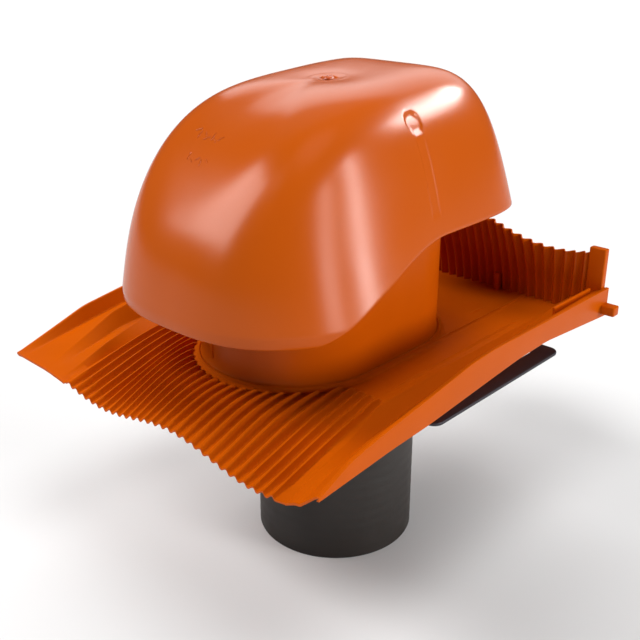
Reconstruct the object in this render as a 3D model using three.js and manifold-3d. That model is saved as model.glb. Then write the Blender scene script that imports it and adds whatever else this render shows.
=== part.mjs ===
import * as THREE from "three";
import { mergeVertices } from "three/addons/utils/BufferGeometryUtils.js";
import Module from "manifold-3d";

// Roof ventilator in moulded plastic. Millimetres, +Z up, +Y up the roof, +X across it.
// The open end of the pipe stands on z = 0 and the middle of the whole plan is the origin.
const wasm = await Module();
wasm.setup();

// Driving dimensions
const clearance = 0.3;
const axisX = 13.5;
const axisY = 2;

const pipe = {
  radius: 62.5, wall: 3, top: 172, beadRadius: 65.3, beadLow: 159.5, beadHigh: 164.9, sides: 48,
};

const collar = { halfWidth: 68.5, frontY: -44, backY: 16, wall: 2.6, top: 306, arcSteps: 16 };
const foot = { spread: 2.2, height: 2.4 };
const bridge = { y: -8, width: 14, low: 290, bossRadius: 9 };
const seam = { angle: -104, width: 6, proud: 1.2 };

const base = { front: -170, back: 170, left: -164.5, right: 153.5, pan: 168, sheet: 2.5 };
const ribs = { first: -99.5, pitch: 8.05, count: 27, height: 1.75, endY: -66, collarGap: 13 };
const wave = { period: 156, hump: 21, low: 143.4, rise: 11 };
const flap = {
  sheet: 2, rib: 1.6, foot: 166.5, left: -150, right: 137.4, lean: 21, postTop: 223.5, postWidth: 14,
  postDepth: 6.4,
  middle: 226, wave: 10, hump: 40,
};
const tab = { left: 152, right: 164.5, front: 158, low: 171, high: 181 };
const lip = { left: 142.5, right: 144.7, front: 101, back: 157, low: 180, high: 192.5 };

const hood = {
  halfWidth: 109.6, front: 157.3, back: 124.4, centreY: -3.8, top: 362, topSlope: 0.062,
  shoulderFront: 228.5, shoulderBack: 226.9, planFront: 2.75, planBack: 5.45,
  roundFront: 2.49, roundSide: 5.36, roundBack: 7.22, blendFront: 1.458, blendBack: 3.986,
  sideLeanFront: 0.272, sideLeanBack: 0.3, leanFront: 0.084, leanBack: 0.246, tuck: 0.16,
  rimFront: 221.1, rimBack: 267.8, rimTurnY: -116.6, rimTurnLength: 119.1, rimCurve: 1.3,
  wall: 2.6, columns: 48,
};
const dimple = { y: -8, radius: 6.2, depth: 2.6, padRadius: 12, padDrop: 5.2 };
const screw = { headRadius: 4.4, headHeight: 2.1, shank: 2.2, length: 14.5, sides: 16, pilotDepth: 16 };

const plate = {
  left: -117.4, right: 144.4, front: -46, back: 117, low: 150, thickness: 2.5, corner: 8,
  slotInset: 14.9, slotWidth: 9, slotFront: -6, slotBack: 102, hubRadius: 66.5, hubTop: 159.2,
};

// Solids and meshes
function solidFromGeometry(geometry) {
  const bare = geometry.clone();
  bare.deleteAttribute("normal");
  bare.deleteAttribute("uv");
  const merged = mergeVertices(bare, 1e-4);
  const index = merged.index.array;
  const kept = [];
  for (let i = 0; i < index.length; i += 3) {
    const [a, b, c] = [index[i], index[i + 1], index[i + 2]];
    if (a !== b && b !== c && a !== c) kept.push(a, b, c);
  }
  return new wasm.Manifold(new wasm.Mesh({
    numProp: 3,
    vertProperties: new Float32Array(merged.attributes.position.array),
    triVerts: new Uint32Array(kept),
  }));
}

function geometryFromSolid(solid) {
  const mesh = solid.getMesh();
  const geometry = new THREE.BufferGeometry();
  geometry.setAttribute("position", new THREE.BufferAttribute(new Float32Array(mesh.vertProperties), 3));
  geometry.setIndex(new THREE.BufferAttribute(new Uint32Array(mesh.triVerts), 1));
  geometry.computeVertexNormals();
  return geometry;
}

// A closed body between two grids of points with the same rows and columns. The direction along the
// columns crossed with the one along the rows points out of the upper grid. A ring has no side edges.
function sheetBody(upper, lower, ring = false) {
  const rows = upper.length;
  const columns = upper[0].length;
  const points = [...upper.flat(), ...lower.flat()];
  const at = (layer, row, column) => layer * rows * columns + row * columns + (column % columns);
  const faces = [];
  const quad = (a, b, c, d) => faces.push(a, b, c, a, c, d);
  const lastColumn = ring ? columns : columns - 1;
  for (let row = 0; row < rows - 1; row += 1) {
    for (let column = 0; column < lastColumn; column += 1) {
      quad(at(0, row, column), at(0, row, column + 1), at(0, row + 1, column + 1), at(0, row + 1, column));
      quad(at(1, row, column), at(1, row + 1, column), at(1, row + 1, column + 1), at(1, row, column + 1));
    }
  }
  for (let column = 0; column < lastColumn; column += 1) {
    const end = rows - 1;
    quad(at(0, end, column), at(0, end, column + 1), at(1, end, column + 1), at(1, end, column));
    if (!ring) quad(at(0, 0, column + 1), at(0, 0, column), at(1, 0, column), at(1, 0, column + 1));
  }
  if (!ring) {
    for (let row = 0; row < rows - 1; row += 1) {
      quad(at(0, row, 0), at(0, row + 1, 0), at(1, row + 1, 0), at(1, row, 0));
      const end = columns - 1;
      quad(at(0, row + 1, end), at(0, row, end), at(1, row, end), at(1, row + 1, end));
    }
  }
  const geometry = new THREE.BufferGeometry();
  geometry.setAttribute("position", new THREE.Float32BufferAttribute(points.flat(), 3));
  geometry.setIndex(faces);
  return solidFromGeometry(geometry);
}

function prism(outline, low, high, hole = null) {
  const shape = new THREE.Shape(outline);
  if (hole) shape.holes.push(new THREE.Path(hole));
  const geometry = new THREE.ExtrudeGeometry(shape, { depth: high - low, bevelEnabled: false });
  geometry.translate(0, 0, low);
  return solidFromGeometry(geometry);
}

function disc(radius, low, high, x, y, sides = 32) {
  return prism(circle(radius, x, y, sides), low, high);
}

function block(x0, x1, y0, y1, z0, z1) {
  const geometry = new THREE.BoxGeometry(x1 - x0, y1 - y0, z1 - z0);
  geometry.translate((x0 + x1) / 2, (y0 + y1) / 2, (z0 + z1) / 2);
  return solidFromGeometry(geometry);
}

function circle(radius, x, y, sides) {
  const points = [];
  for (let i = 0; i < sides; i += 1) {
    const turn = (i / sides) * 2 * Math.PI;
    points.push(new THREE.Vector2(x + radius * Math.cos(turn), y + radius * Math.sin(turn)));
  }
  return points;
}

function rectangle(x0, x1, y0, y1, corner, steps = 6) {
  const points = [];
  const centres = [[x1 - corner, y1 - corner], [x0 + corner, y1 - corner],
    [x0 + corner, y0 + corner], [x1 - corner, y0 + corner]];
  centres.forEach(([x, y], quarter) => {
    for (let i = 0; i <= steps; i += 1) {
      const turn = (quarter + i / steps) * (Math.PI / 2);
      points.push(new THREE.Vector2(x + corner * Math.cos(turn), y + corner * Math.sin(turn)));
    }
  });
  return points;
}

const mix = THREE.MathUtils.lerp;
const smooth = THREE.MathUtils.smoothstep;
const power = (value, exponent) => Math.sign(value) * Math.abs(value) ** exponent;

// A value read along a list of [place, value] pairs, straight between them.
function along(pairs, place) {
  if (place <= pairs[0][0]) return pairs[0][1];
  for (let i = 1; i < pairs.length; i += 1) {
    const [x0, v0] = pairs[i - 1];
    const [x1, v1] = pairs[i];
    if (place <= x1) return mix(v0, v1, (place - x0) / (x1 - x0));
  }
  return pairs[pairs.length - 1][1];
}

// Duct collar: an oval of two half circles joined by straight sides
function oval(grow) {
  const radius = collar.halfWidth + grow;
  const points = [];
  for (let i = 0; i <= collar.arcSteps; i += 1) {
    const turn = (i / collar.arcSteps) * Math.PI;
    points.push(new THREE.Vector2(axisX + radius * Math.cos(turn), collar.backY + radius * Math.sin(turn)));
  }
  for (let i = 0; i <= collar.arcSteps; i += 1) {
    const turn = Math.PI + (i / collar.arcSteps) * Math.PI;
    points.push(new THREE.Vector2(axisX + radius * Math.cos(turn), collar.frontY + radius * Math.sin(turn)));
  }
  return points;
}

function distanceToCollar(x, y) {
  const centre = Math.min(Math.max(y, collar.frontY), collar.backY);
  return Math.hypot(x - axisX, y - centre) - collar.halfWidth;
}

// The collar stands on the pan. Its foot is a little wider than its wall.
function makeCollar() {
  const floor = base.pan + clearance;
  let solid = prism(oval(0), floor, collar.top, oval(-collar.wall));
  solid = solid.add(prism(oval(foot.spread), floor, base.pan + foot.height, oval(-collar.wall)));
  const turn = THREE.MathUtils.degToRad(seam.angle);
  const rib = new THREE.BoxGeometry(seam.width, 2 * seam.proud, collar.top - floor);
  rib.rotateZ(turn + Math.PI / 2);
  rib.translate(axisX + collar.halfWidth * Math.cos(turn), collar.frontY + collar.halfWidth * Math.sin(turn),
    (collar.top + floor) / 2);
  return solid.add(solidFromGeometry(rib)).add(makeBridge());
}

// The bridge across the mouth of the collar carries the boss that takes the hood's screw.
function makeBridge() {
  const reach = collar.halfWidth - collar.wall / 2;
  const half = bridge.width / 2;
  const bar = block(axisX - reach, axisX + reach, bridge.y - half, bridge.y + half, bridge.low, collar.top);
  const bossTop = hoodTop(bridge.y) - dimple.padDrop - clearance;
  const boss = disc(bridge.bossRadius, bridge.low, bossTop, axisX, bridge.y);
  const pilotRadius = screw.shank + clearance;
  const pilot = disc(pilotRadius, bossTop - screw.pilotDepth, bossTop + 1, axisX, bridge.y, screw.sides);
  return bar.add(boss).subtract(pilot);
}

// Base plate
// Two rows of the tile below give the front edge its wave, highest under the hood.
function frontEdge(x) {
  const turn = ((x - wave.hump) / wave.period) * 2 * Math.PI;
  return wave.low + (wave.rise * (1 + Math.cos(turn))) / 2;
}

// The apron climbs from its front edge to the pan. It ends at the collar's foot or at the rib line.
function apronEnd(x) {
  const reach = collar.halfWidth + ribs.collarGap;
  const offset = Math.min(Math.abs(x - axisX), reach);
  return Math.min(ribs.endY, collar.frontY - Math.sqrt(reach ** 2 - offset ** 2));
}

function apronHeight(x, y) {
  const climb = smooth(y, base.front - 40, apronEnd(x));
  const start = smooth(base.front, base.front - 40, apronEnd(x));
  return mix(frontEdge(x), base.pan, (climb - start) / (1 - start));
}

function ribRelief(x, y, phase) {
  const beforeLine = y < ribs.endY ? 1 : 0;
  const nearCollar = smooth(distanceToCollar(x, y), ribs.collarGap - 3, ribs.collarGap);
  return ribs.height * phase * beforeLine * nearCollar;
}

const leftRim = [[-170, 151.5], [-135, 163], [-107, 172.5], [-67, 178.5], [-20, 183], [40, 186], [170, 187]];
const leftFloor = [[-170, 151], [-135, 156.5], [-107, 161.5], [-70, 167.5], [-55, 168]];
const ridgeTop = [[-170, 150.2], [-159, 153], [-123, 168.5], [-106, 176.5], [-90, 179.5], [170, 180]];
const ridgeFoot = [[-170, 149], [-159, 153], [-118, 162], [-106, 166], [-84, 168]];
const stepEdgeX = [[-170, -106.5], [-129, -106.5], [-83, -117], [-60, -115], [-40, -108]];
const stepEdge = [[-170, 147.5], [-159, 151], [-129, 163], [-83, 168]];
const stepFoot = [[-170, 146.5], [-129, 156], [-98, 160], [-76, 163.5], [-66, 167], [-60, 168]];
const rightRim = [[-170, 160], [-142, 172], [-114, 177.5], [-63, 185], [-20, 192], [5, 193.5], [170, 191.5]];
const rightSkirt = [[-170, 157.5], [-103, 163], [-69, 164.5], [6, 171.5], [40, 174.5], [77, 175.5],
  [170, 168]];
const innerEdgeX = [[-170, 126], [-135, 126], [-105, 122], [-75, 116], [0, 114.5], [110, 113]];
const innerEdge = [[-170, 144.5], [-141, 155], [-105, 160.5], [-75, 166.5], [-64, 168]];
const channelX = [[-170, 134], [-141, 133.5], [-105, 130], [-65, 128], [0, 126.5], [110, 119], [140, 116]];
const channel = [[-170, 148.5], [-141, 157.5], [-105, 156.5], [-65, 158.5], [0, 160], [110, 164], [140, 168]];

function baseRow(y, across) {
  const zLeft = along(leftRim, y);
  const zFloor = along(leftFloor, y);
  const zRight = along(rightRim, y);
  const zSkirt = along(rightSkirt, y);
  const upper = [
    [base.left, y, zLeft], [base.left + 2.2, y, zLeft], [base.left + 8, y, zFloor],
    [-127, y, along(ridgeTop, y)], [-118.5, y, along(ridgeFoot, y)],
    [along(stepEdgeX, y), y, along(stepEdge, y)], [ribs.first - 2, y, along(stepFoot, y)],
  ];
  const lower = [
    [base.left + 0.3, y, zLeft - 1.6], [base.left + 1.2, y, zLeft - 3],
    [base.left + 5.6, y, zFloor - base.sheet],
    [-127.6, y, along(ridgeTop, y) - 3.2], [-120, y, along(ridgeFoot, y) - base.sheet],
    [along(stepEdgeX, y) - 1, y, along(stepEdge, y) - 2.8],
    [ribs.first - 3, y, along(stepFoot, y) - base.sheet],
  ];
  for (let i = 0; i <= across; i += 1) {
    const x = ribs.first + (i / across) * ribs.count * ribs.pitch;
    const phase = i % 2 === 0 ? -1 : 1;
    const z = apronHeight(x, y) + ribRelief(x, y, phase);
    upper.push([x, y, z]);
    lower.push([x, y, z - base.sheet]);
  }
  const xInner = along(innerEdgeX, y);
  const xChannel = along(channelX, y);
  upper.push([xInner, y, along(innerEdge, y)], [xChannel, y, along(channel, y)],
    [base.right - 2.4, y, zRight], [base.right, y, zRight], [base.right, y, zSkirt]);
  lower.push([xInner - 0.8, y, along(innerEdge, y) - 2.6], [xChannel + 0.6, y, along(channel, y) - 3.4],
    [base.right - 4.6, y, zRight - 5], [base.right - 2.3, y, Math.min(zRight - 2.2, zSkirt + 3)],
    [base.right - 2.3, y, zSkirt]);
  return { upper, lower };
}

// The apron has two points to a rib, a crest and a valley. The flat pan behind it needs few.
function makePan() {
  const apronStations = [base.front, -153, -136, -121, -108, -95, -82, ribs.endY - 1.5, ribs.endY];
  const panStations = [ribs.endY, -40, 10, 60, 110, 140, base.back];
  const [apron, pan] = [[apronStations, 2 * ribs.count], [panStations, 3]].map(([stations, across]) => {
    const rows = stations.map((y) => baseRow(y, across));
    return sheetBody(rows.map((row) => row.upper), rows.map((row) => row.lower));
  });
  return apron.add(pan);
}

// Upright flap: a corrugated sheet whose top edge has the tile's wave. Its middle leans to the front.
function flapTop(x) {
  return flap.middle + flap.wave * Math.cos(((x - flap.hump) / wave.period) * 2 * Math.PI);
}

function makeFlap() {
  const front = [];
  const back = [];
  const levels = [0, 0.45, 0.8, 1];
  const steps = Math.round((flap.right - flap.left) / (ribs.pitch / 2));
  levels.forEach((level) => {
    const frontRow = [];
    const backRow = [];
    for (let i = 0; i <= steps; i += 1) {
      const x = mix(flap.left, flap.right, i / steps);
      const side = i % 2 === 0 ? -1 : 1;
      const ends = smooth(x, flap.left, flap.left + 60) * (1 - smooth(x, flap.right - 70, flap.right - 6));
      const y = flap.foot + flap.rib * side - flap.lean * ends * level ** 1.6;
      const z = mix(base.pan - 1.5, flapTop(x), level);
      frontRow.push([x, y - flap.sheet / 2, z]);
      backRow.push([x, y + flap.sheet / 2, z]);
    }
    front.push(frontRow);
    back.push(backRow);
  });
  return sheetBody(front, back);
}

function makeBasePlate() {
  let solid = makePan().add(makeFlap());
  const postFront = flap.foot - flap.postDepth / 2;
  const postBack = flap.foot + flap.postDepth / 2;
  for (const x of [flap.right - 1, flap.left + 1 - flap.postWidth]) {
    solid = solid.add(block(x, x + flap.postWidth, postFront, postBack, base.pan - 1, flap.postTop));
  }
  solid = solid.add(block(tab.left, tab.right, tab.front, base.back, tab.low, tab.high));
  solid = solid.add(block(lip.left, lip.right, lip.front, lip.back, lip.low, lip.high));
  return solid.subtract(disc(pipe.radius + clearance, base.pan - 12, base.pan + 6, axisX, axisY, pipe.sides));
}

// Hood
// The hood is a dome over a rounded-square plan. Its height falls from the top along a superellipse
// whose roundness changes with the direction in plan, and the walls lean in towards the top.
function hoodTop(y) {
  return hood.top + hood.topSlope * (y - hood.centreY);
}

function hoodRim(y) {
  const climb = THREE.MathUtils.clamp((y - hood.rimTurnY) / hood.rimTurnLength, 0, 1);
  return mix(hood.rimFront, hood.rimBack, Math.sin((climb * Math.PI) / 2) ** hood.rimCurve);
}

// Levels 0 to 1 run down the dome. Levels 1 to 2 run down the wall below it, where the rim is lower.
function hoodPoint(turn, level, inset) {
  const forward = Math.sin(turn) < 0;
  const backShare = (1 + Math.sin(turn)) / 2;
  const plan = forward ? hood.planFront : hood.planBack;
  const length = (forward ? hood.front : hood.back) - inset;
  const planX = (hood.halfWidth - inset) * power(Math.cos(turn), 2 / plan);
  const planY = length * power(Math.sin(turn), 2 / plan);
  const outerY = hood.centreY + (planY * (length + inset)) / length;
  const rim = hoodRim(outerY);
  const shoulder = mix(hood.shoulderFront, hood.shoulderBack, backShare);
  if (level > 1) {
    const z = mix(shoulder, Math.min(rim, shoulder), level - 1);
    if (rim >= shoulder) return hoodPoint(turn, 1, inset);
    const scale = 1 - hood.tuck * ((shoulder - z) / 50) ** 2;
    return [axisX + planX * scale, hood.centreY + planY * scale, z];
  }
  const share = Math.abs(Math.sin(turn)) ** (forward ? hood.blendFront : hood.blendBack);
  const roundness = mix(hood.roundSide, forward ? hood.roundFront : hood.roundBack, share);
  const endUp = THREE.MathUtils.clamp((rim - shoulder) / (hoodTop(outerY) - inset - shoulder), 0, 1);
  const angle = level * Math.acos(endUp ** (roundness / 2));
  const out = Math.sin(angle) ** (2 / roundness);
  const up = Math.max(Math.cos(angle), 0) ** (2 / roundness);
  const sideLean = mix(hood.sideLeanFront, hood.sideLeanBack, backShare);
  const x = axisX + planX * out * (1 - sideLean * up);
  const y = hood.centreY + planY * out * (1 - (forward ? hood.leanFront : hood.leanBack) * up);
  return [x, y, mix(shoulder, hoodTop(y) - inset, up)];
}

function hoodGrid(inset) {
  const levels = [0, 0.05, 0.15, 0.27, 0.38, 0.48, 0.58, 0.68, 0.78, 0.89, 1, 2];
  const columns = hood.columns;
  return levels.map((level) => {
    const row = [];
    for (let i = 0; i < columns; i += 1) row.push(hoodPoint((-i / columns) * 2 * Math.PI, level, inset));
    return row;
  });
}

function makeHood() {
  let solid = sheetBody(hoodGrid(0), hoodGrid(hood.wall), true);
  const top = hoodTop(dimple.y);
  solid = solid.add(disc(dimple.padRadius, top - dimple.padDrop, top - 1, axisX, dimple.y));
  solid = solid.subtract(disc(dimple.radius, top - dimple.depth, top + 5, axisX, dimple.y));
  const hole = disc(screw.shank + clearance, top - 2 * dimple.padDrop, top, axisX, dimple.y, screw.sides);
  return solid.subtract(hole);
}

function makeScrew() {
  const seat = hoodTop(dimple.y) - dimple.depth + clearance;
  const { headRadius, headHeight, shank, length } = screw;
  const profile = [[0, -length], [shank, 1.5 - length], [shank, 0], [headRadius, 0],
    [0.8 * headRadius, 0.6 * headHeight], [0.45 * headRadius, headHeight], [0, headHeight],
  ].map(([r, z]) => new THREE.Vector2(r, z));
  const geometry = new THREE.LatheGeometry(profile, screw.sides);
  geometry.rotateX(Math.PI / 2);
  geometry.translate(axisX, dimple.y, seat);
  return solidFromGeometry(geometry);
}

// Pipe and flange plate. The plate grips the pipe with a short hub below the pipe's bead.
function makePipe() {
  const inner = pipe.radius - pipe.wall;
  const profile = [[inner, 0], [pipe.radius, 0], [pipe.radius, pipe.beadLow],
    [pipe.beadRadius, pipe.beadLow + 2], [pipe.beadRadius, pipe.beadHigh], [pipe.radius, pipe.beadHigh],
    [pipe.radius, pipe.top], [inner, pipe.top], [inner, 0],
  ].map(([r, z]) => new THREE.Vector2(r, z));
  const geometry = new THREE.LatheGeometry(profile, pipe.sides);
  geometry.rotateX(Math.PI / 2);
  geometry.translate(axisX, axisY, 0);
  return solidFromGeometry(geometry);
}

function makePlate() {
  const high = plate.low + plate.thickness;
  const outline = rectangle(plate.left, plate.right, plate.front, plate.back, plate.corner);
  let solid = prism(outline, plate.low, high);
  solid = solid.add(disc(plate.hubRadius, plate.low, plate.hubTop, axisX, axisY, pipe.sides));
  const hole = disc(pipe.radius + clearance, plate.low - 1, plate.hubTop + 1, axisX, axisY, pipe.sides);
  solid = solid.subtract(hole);
  const slots = [plate.right - plate.slotInset - plate.slotWidth, plate.left + plate.slotInset];
  for (const x of slots) {
    const { slotWidth, slotFront, slotBack } = plate;
    solid = solid.subtract(block(x, x + slotWidth, slotFront, slotBack, plate.low - 1, high + 1));
  }
  return solid;
}

const materials = {
  hood: new THREE.MeshStandardMaterial({ color: 0xd0611f, roughness: 0.42, metalness: 0 }),
  base: new THREE.MeshStandardMaterial({ color: 0xc8540f, roughness: 0.46, metalness: 0 }),
  screw: new THREE.MeshStandardMaterial({ color: 0xb4531c, roughness: 0.4, metalness: 0 }),
  pipe: new THREE.MeshStandardMaterial({ color: 0x35302d, roughness: 0.55, metalness: 0 }),
  plate: new THREE.MeshStandardMaterial({ color: 0x2b2429, roughness: 0.35, metalness: 0 }),
};

const roofVent = new THREE.Group();
function addPiece(name, solid, material) {
  const mesh = new THREE.Mesh(geometryFromSolid(solid), material);
  mesh.name = name;
  roofVent.add(mesh);
}

addPiece("hood", makeHood(), materials.hood);
addPiece("hood_screw", makeScrew(), materials.screw);
addPiece("base_plate", makeBasePlate(), materials.base);
addPiece("duct_collar", makeCollar(), materials.base);
addPiece("pipe", makePipe(), materials.pipe);
addPiece("flange_plate", makePlate(), materials.plate);

export default roofVent;
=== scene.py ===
import math

import bmesh
import bpy
import numpy as np
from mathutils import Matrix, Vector


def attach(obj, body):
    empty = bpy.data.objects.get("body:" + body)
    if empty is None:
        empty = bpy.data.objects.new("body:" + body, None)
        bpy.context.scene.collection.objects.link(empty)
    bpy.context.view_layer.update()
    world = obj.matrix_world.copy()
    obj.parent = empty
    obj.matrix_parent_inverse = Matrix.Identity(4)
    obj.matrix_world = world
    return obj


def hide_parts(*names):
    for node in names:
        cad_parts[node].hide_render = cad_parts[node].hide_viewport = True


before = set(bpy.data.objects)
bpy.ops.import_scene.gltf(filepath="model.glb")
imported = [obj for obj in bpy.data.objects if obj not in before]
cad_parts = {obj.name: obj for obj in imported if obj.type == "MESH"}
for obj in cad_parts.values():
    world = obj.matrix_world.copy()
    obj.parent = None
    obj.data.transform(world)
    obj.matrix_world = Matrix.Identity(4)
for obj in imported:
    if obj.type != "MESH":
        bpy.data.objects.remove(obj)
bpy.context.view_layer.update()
print("frame loaded")

# Millimetres here, metres in the meshes. The pipe's axis is at (axisX, axisY) in plan.
axisX, axisY = 13.5, 2.0
panHeight = 168.0
boreRadius = 62.8


# ---- Meshes

def gridFaces(rows, columns, ring):
    # Each grid point makes a quad with the next one in its row and the two above them.
    last = columns if ring else columns - 1
    r, c = np.meshgrid(np.arange(rows - 1), np.arange(last), indexing="ij")
    n = (c + 1) % columns
    quads = np.stack([r * columns + c, r * columns + n, (r + 1) * columns + n, (r + 1) * columns + c], -1)
    return quads.reshape(-1, 4)


def outward(points, faces):
    # The sum of the small volumes under each quad is negative when the faces point in.
    a, b, c, d = (points[faces[:, k]] for k in range(4))
    volume = (np.cross(a, b) * c).sum() + (np.cross(a, c) * d).sum()
    return points, (faces if volume > 0 else faces[:, ::-1])


def turnedBody(grid, closeRows=False):
    # A grid whose columns go round: its rows end in poles, or the last row meets the first one.
    if closeRows:
        grid = np.concatenate([grid, grid[:1]])
    points = grid.reshape(-1, 3)
    return outward(points, gridFaces(grid.shape[0], grid.shape[1], True))


def sheetBody(upper, lower):
    # Each row is a closed loop, out along the upper sheet and back along the lower one. Strips of
    # quads between the two halves of the first and last loops close the ends.
    loops = np.concatenate([upper, lower[:, ::-1]], 1)
    rows, columns = loops.shape[:2]
    half = upper.shape[1]
    i = np.arange(half - 1)
    start = np.stack([i + 1, i, columns - 1 - i, columns - 2 - i], -1)
    end = start[:, ::-1] + (rows - 1) * columns
    faces = np.concatenate([gridFaces(rows, columns, True), start, end])
    return outward(loops.reshape(-1, 3), faces)


def easedSlab(loop, low, high, edge):
    # The loop goes up from a pole in the middle of the bottom to one in the middle of the top. Two
    # small steps ease each rim: the loop is scaled so that it stands in from its full size by inset.
    low, high, small = np.array(low, float), np.array(high, float), edge * 0.3
    centre, size = (low + high)[:2] / 2, (high - low)[:2] / 2
    rows = []
    for inset, z in [(None, low[2]), (edge, low[2]), (small, low[2] + small), (0, low[2] + edge),
                     (0, high[2] - edge), (small, high[2] - small), (edge, high[2]), (None, high[2])]:
        scale = 0 if inset is None else (size - inset) / size
        rows.append(np.column_stack([centre + (loop - centre) * scale, np.full(len(loop), z)]))
    return turnedBody(np.array(rows))


def blockBody(low, high, bevel):
    # A box with rounded edges between two opposite corners.
    return easedSlab(roundedLoop(low[0], high[0], low[1], high[1], bevel * 2, 4), low, high, bevel)


def roundedLoop(x0, x1, y0, y1, corner, steps):
    # Four quarter circles whose centres stand one corner radius inside the rectangle.
    turn = np.linspace(0, math.pi / 2, steps + 1)
    centres = [(x1 - corner, y1 - corner), (x0 + corner, y1 - corner),
               (x0 + corner, y0 + corner), (x1 - corner, y0 + corner)]
    arcs = [np.column_stack([x + corner * np.cos(turn + k * math.pi / 2),
                             y + corner * np.sin(turn + k * math.pi / 2)])
            for k, (x, y) in enumerate(centres)]
    return np.concatenate(arcs)


def roundGrid(radius, height, turn, x, y):
    # Each row's radius and height go to every direction of turn about the upright axis at (x, y).
    around = np.broadcast_arrays(x + radius * np.cos(turn), y + radius * np.sin(turn), height)
    return np.stack(around, -1)


def latheBody(profile, sides, x=axisX, y=axisY):
    # Each profile point (radius, height) goes once round the axis at (x, y).
    profile = np.array(profile, float)
    turn = np.linspace(0, 2 * math.pi, sides, endpoint=False)
    grid = roundGrid(profile[:, :1], profile[:, 1:], turn, x, y)
    closed = np.allclose(profile[0], profile[-1])
    return turnedBody(grid[:-1] if closed else grid, closed)


def looseObject(name, bodies):
    # The bodies' quads as one mesh. Points that meet are welded and slivers are dissolved.
    starts = np.cumsum([0] + [len(points) for points, _ in bodies])
    points = np.concatenate([points for points, _ in bodies]) / 1000
    faces = np.concatenate([quads + start for (_, quads), start in zip(bodies, starts)])
    mesh = bpy.data.meshes.new(name)
    mesh.vertices.add(len(points))
    mesh.vertices.foreach_set("co", points.astype(np.float32).ravel())
    mesh.loops.add(faces.size)
    mesh.loops.foreach_set("vertex_index", faces.astype(np.int32).ravel())
    mesh.polygons.add(len(faces))
    mesh.polygons.foreach_set("loop_start", np.arange(0, faces.size, 4, dtype=np.int32))
    mesh.update(calc_edges=True)
    weld = bmesh.new()
    weld.from_mesh(mesh)
    bmesh.ops.remove_doubles(weld, verts=weld.verts, dist=2e-6)
    bmesh.ops.dissolve_degenerate(weld, edges=weld.edges, dist=1e-6)
    weld.to_mesh(mesh)
    weld.free()
    thing = bpy.data.objects.new(name, mesh)
    bpy.context.scene.collection.objects.link(thing)
    return thing


def finishPiece(piece, material, nodes, sharp):
    # Edges that turn by more than sharp degrees stay crisp in the shading.
    piece.data.polygons.foreach_set("use_smooth", [True] * len(piece.data.polygons))
    piece.data.set_sharp_from_angle(angle=math.radians(sharp))
    piece.data.materials.clear()
    piece.data.materials.append(material)
    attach(piece, "root")
    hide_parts(*nodes)
    print(f"{piece.name}: {sum(len(p.vertices) - 2 for p in piece.data.polygons)} triangles")


def addPiece(name, bodies, material, nodes, sharp=38):
    piece = looseObject(name, bodies)
    finishPiece(piece, material, nodes, sharp)
    return piece


def combine(piece, other, operation):
    # Joins the other object to the piece, or cuts it out, and keeps the result as the piece's own mesh.
    modifier = piece.modifiers.new("combine", "BOOLEAN")
    modifier.object, modifier.operation, modifier.solver = other, operation, "MANIFOLD"
    solved = piece.evaluated_get(bpy.context.evaluated_depsgraph_get())
    made = bpy.data.meshes.new_from_object(solved)
    piece.modifiers.clear()
    piece.data = made
    bpy.data.objects.remove(other)


def boreCutter(low, high):
    # A plug a little wider than the pipe, for the hole that the pipe goes through.
    profile = [(0, low), (boreRadius, low), (boreRadius, high), (0, high)]
    return looseObject("boreCutter", [latheBody(profile, 128)])


def smoothStep(x, low, high):
    t = np.clip((x - low) / (high - low), 0, 1)
    return t * t * (3 - 2 * t)


def signedPower(value, exponent):
    return np.sign(value) * np.abs(value) ** exponent


# ---- Materials

def linear(hexColour):
    parts = [int(hexColour[i:i + 2], 16) / 255 for i in (1, 3, 5)]
    return tuple(c / 12.92 if c <= 0.04045 else ((c + 0.055) / 1.055) ** 2.4 for c in parts) + (1.0,)


def addNode(tree, kind, settings=None, links=None):
    # settings go to sockets by name, or to the node's own properties; links name a node and its output.
    node = tree.nodes.new(kind)
    for key, value in (settings or {}).items():
        if key in node.inputs.keys():
            node.inputs[key].default_value = value
        else:
            setattr(node, key, value)
    for key, (source, output) in (links or {}).items():
        tree.links.new(source.outputs[output], node.inputs[key])
    return node


def emptyTree(owner):
    owner.use_nodes = True
    owner.node_tree.nodes.clear()
    return owner.node_tree


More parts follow.
